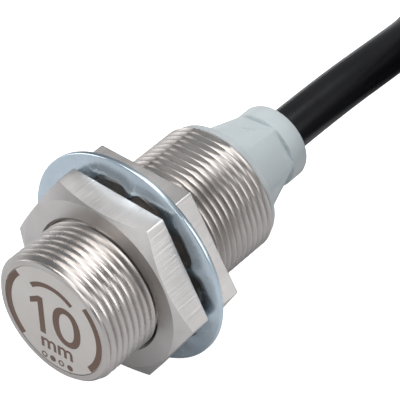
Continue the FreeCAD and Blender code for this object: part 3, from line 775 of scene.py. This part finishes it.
# %% [markdown]
# The clamp is clear nylon that scatters light: a pale blue-grey with subsurface
# scattering and some transmission, and a satin skin. The cable's jacket is black PVC
# with a soft gloss. The rest are the plastics, rubber and ceramics of the inside.

# %% Plastic, rubber and other finishes
clamp_nylon = finish("frosted_nylon", (0.70, 0.77, 0.79), (0.64, 0.72, 0.745), 0.26, 0.36,
                     grain=900.0, bump=0.12, depth=0.03, Subsurface_Weight=0.6, Subsurface_Scale=0.004,
                     Subsurface_Radius=(1, 1, 1),
                     Transmission_Weight=0.25, IOR=1.5, Coat_Weight=0.3, Coat_Roughness=0.2)
jacket = finish("black_jacket", (0.004, 0.004, 0.005), (0.008, 0.008, 0.010), 0.24, 0.34,
                grain=2200.0, bump=0.06, depth=0.01, cloud=60.0, IOR=1.5)
nylon = finish("black_nylon", (0.025, 0.025, 0.026), (0.035, 0.035, 0.036), 0.4, 0.55, grain=2500.0)
rubber = finish("seal_rubber", (0.02, 0.02, 0.02), (0.03, 0.03, 0.03), 0.6, 0.75, grain=3500.0, bump=0.2)
cup = finish("cup_plastic", (0.74, 0.71, 0.62), (0.68, 0.64, 0.55), 0.45, 0.6, grain=2500.0)
ferrite = finish("sintered_ferrite", (0.06, 0.06, 0.062), (0.09, 0.088, 0.085), 0.65, 0.85,
                 grain=5000.0, bump=0.4)
bobbin = finish("bobbin_plastic", (0.84, 0.82, 0.76), (0.78, 0.75, 0.68), 0.4, 0.55, grain=2500.0)
laminate = finish("board_mask", (0.02, 0.16, 0.07), (0.03, 0.21, 0.09), 0.3, 0.42, grain=4000.0)
chip = finish("chip_moulding", (0.025, 0.025, 0.027), (0.035, 0.035, 0.036), 0.5, 0.65, grain=6000.0)
ceramic = finish("chip_ceramic", (0.52, 0.38, 0.25), (0.45, 0.33, 0.22), 0.4, 0.5, grain=6000.0)
lens = finish("tinted_lens", (0.95, 0.50, 0.10), (0.90, 0.42, 0.08), 0.12, 0.2,
              Transmission_Weight=0.5)
resin = finish("casting_resin", (0.30, 0.25, 0.19), (0.25, 0.20, 0.15), 0.35, 0.5, grain=1200.0)
brown = finish("brown_insulation", (0.16, 0.065, 0.03), (0.19, 0.08, 0.04), 0.3, 0.42, grain=3000.0)
blue = finish("blue_insulation", (0.02, 0.07, 0.32), (0.03, 0.09, 0.38), 0.3, 0.42, grain=3000.0)
black = finish("black_insulation", (0.015, 0.015, 0.015), (0.022, 0.022, 0.022), 0.3, 0.42, grain=3000.0)
print("materials:", len(bpy.data.materials))

# %% [markdown]
# Each finish now goes on its pieces. A CAD node keeps its mesh and gets the finish of
# its material slot in the record. A new piece gets the finish of the slot it stands
# for, except the marks, which are burnt and not blasted.

# %% Put the finishes on
finish_of_slot = {
    "stainless_thread": steel_thread, "blasted_steel": steel_blasted, "stainless_nut": steel_nut,
    "zinc_plate": zinc, "frosted_clamp": clamp_nylon, "seal_rubber": rubber, "cup_plastic": cup,
    "ferrite": ferrite, "bobbin_plastic": bobbin, "enamelled_copper": copper,
    "board_laminate": laminate, "chip_black": chip, "chip_ceramic": ceramic,
    "indicator_lens": lens, "tin": tin, "brown_insulation": brown, "blue_insulation": blue,
    "black_insulation": black, "resin": resin, "cable_jacket": jacket, "tie_nylon": nylon,
}


def put_on(piece, material):
    piece.data.materials.clear()
    piece.data.materials.append(material)


slot_of_node = {s["node"]: s["material_slot"] for s in frame["record"]["subparts"]}
for name, node in frame["nodes"].items():
    put_on(node, finish_of_slot[slot_of_node[name]])
for piece in scene.objects:
    if piece.get("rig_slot"):
        put_on(piece, finish_of_slot[piece["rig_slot"]])
for mark in marks:
    put_on(mark, laser_mark)
print("finished nodes:", len(slot_of_node))

# %% [markdown]
# The studio is plain: a pale floor at the bench's height, a pale surround and large
# soft lights. A metal shows what stands round it, so the lights are big and close. One
# lies over the object, one is at each side and one faces the marked end. The floor
# and the surround look white where the camera sees them, and are greyer in reflections,
# so that the metal keeps its darker bands.

# %% Floor and surround
pick_nothing()
bpy.ops.mesh.primitive_plane_add(size=4.0, location=metres(0, 0, BENCH))
floor = bpy.context.object
floor.name = "floor"
floor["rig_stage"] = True
pale = bpy.data.materials.new("pale_floor")
pale.use_nodes = True
tree = pale.node_tree
tree.nodes.clear()
seen = add_node(tree, "ShaderNodeLightPath").outputs["Is Camera Ray"]
matt = add_node(tree, "ShaderNodeBsdfDiffuse", {"Color": (0.62, 0.62, 0.63, 1)})
glow = add_node(tree, "ShaderNodeEmission", {"Color": (1, 1, 1, 1), "Strength": 1.0})
both = add_node(tree, "ShaderNodeAddShader", {0: matt.outputs[0], 1: glow.outputs[0]})
mixed = add_node(tree, "ShaderNodeMixShader", {0: seen, 1: matt.outputs[0], 2: both.outputs[0]})
add_node(tree, "ShaderNodeOutputMaterial", {"Surface": mixed.outputs[0]})
put_on(floor, pale)

world = bpy.data.worlds.new("studio")
scene.world = world
world.use_nodes = True
tree = world.node_tree
tree.nodes.clear()
seen = add_node(tree, "ShaderNodeLightPath").outputs["Is Camera Ray"]
dim = add_node(tree, "ShaderNodeBackground", {"Color": (0.86, 0.88, 0.92, 1), "Strength": 0.22})
white = add_node(tree, "ShaderNodeBackground", {"Color": (1, 1, 1, 1), "Strength": 1.0})
mixed = add_node(tree, "ShaderNodeMixShader", {0: seen, 1: dim.outputs[0], 2: white.outputs[0]})
add_node(tree, "ShaderNodeOutputWorld", {"Surface": mixed.outputs[0]})
scene.view_settings.view_transform = "Standard"
scene.view_settings.look = "None"
print("studio ready")

# %% [markdown]
# Each light is a rectangle that is aimed at the middle of the barrel. The one above is
# the strongest and gives the crests and rims their bright lines.

# %% Lights
def softbox(name, place, size, watts, towards=(0, 18, 0)):
    lamp = bpy.data.lights.new(name, "AREA")
    lamp.shape = "RECTANGLE"
    lamp.size, lamp.size_y = size[0] * MM, size[1] * MM
    lamp.energy = watts
    lit = bpy.data.objects.new(name, lamp)
    scene.collection.objects.link(lit)
    lit.location = metres(*place)
    lit.rotation_euler = (metres(*towards) - lit.location).to_track_quat("-Z", "Y").to_euler()
    return lit


softbox("light_above", (-40, 60, 420), (420, 300), 1.7)
softbox("light_left", (-420, -60, 160), (260, 320), 0.6)
softbox("light_right", (380, 160, 180), (200, 300), 0.5)
softbox("light_front", (60, -420, 200), (300, 200), 0.5)
print("lights:", len(bpy.data.lights))

# %% [markdown]
# Last, the box round everything that is shown is measured and printed in millimetres.
# The floor and the lights are left out of it.

# %% Size of everything shown
low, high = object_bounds()
print("visual box, mm:", [round(v / MM, 2) for v in (*low, *high)])
